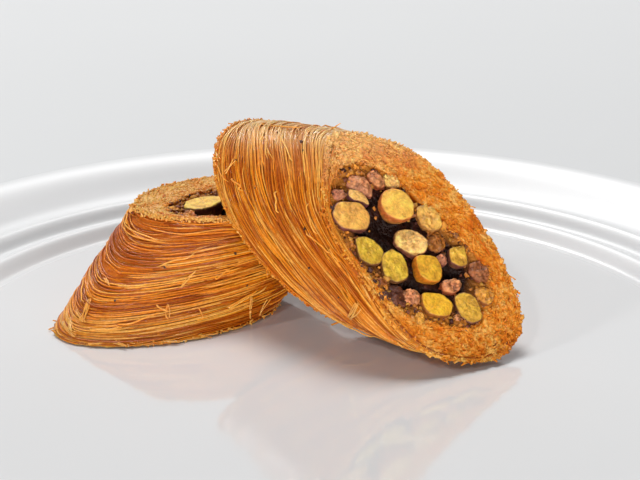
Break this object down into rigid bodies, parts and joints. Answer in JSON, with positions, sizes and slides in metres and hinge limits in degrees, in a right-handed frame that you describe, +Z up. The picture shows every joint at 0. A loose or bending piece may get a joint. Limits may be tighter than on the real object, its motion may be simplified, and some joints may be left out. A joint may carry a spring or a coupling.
{
  "type": "plate of pistachio burma kadayif",
  "caption": "Slices of strand pastry rolled round pistachio kernels, one leaning on another, on a round porcelain plate.",
  "frame": {"origin": "middle of the plate's foot ring, on the surface that the plate stands on", "axes": "+Z up; the leaning slice's cut face looks towards -Y and a little towards +X"},
  "size_m": [0.26, 0.26, 0.0528],
  "materials": {
    "porcelain": "glossy white glaze",
    "pastry_strands": "baked strands with a thin syrup gloss",
    "pistachio_filling": "cut kernels in a dark glossy skin paste"
  },
  "bodies": {
    "root": {"plate": "porcelain", "front_wrap": "pastry_strands", "front_filling": "pistachio_filling", "back_wrap": "pastry_strands", "back_filling": "pistachio_filling"}
  },
  "joints": []
}
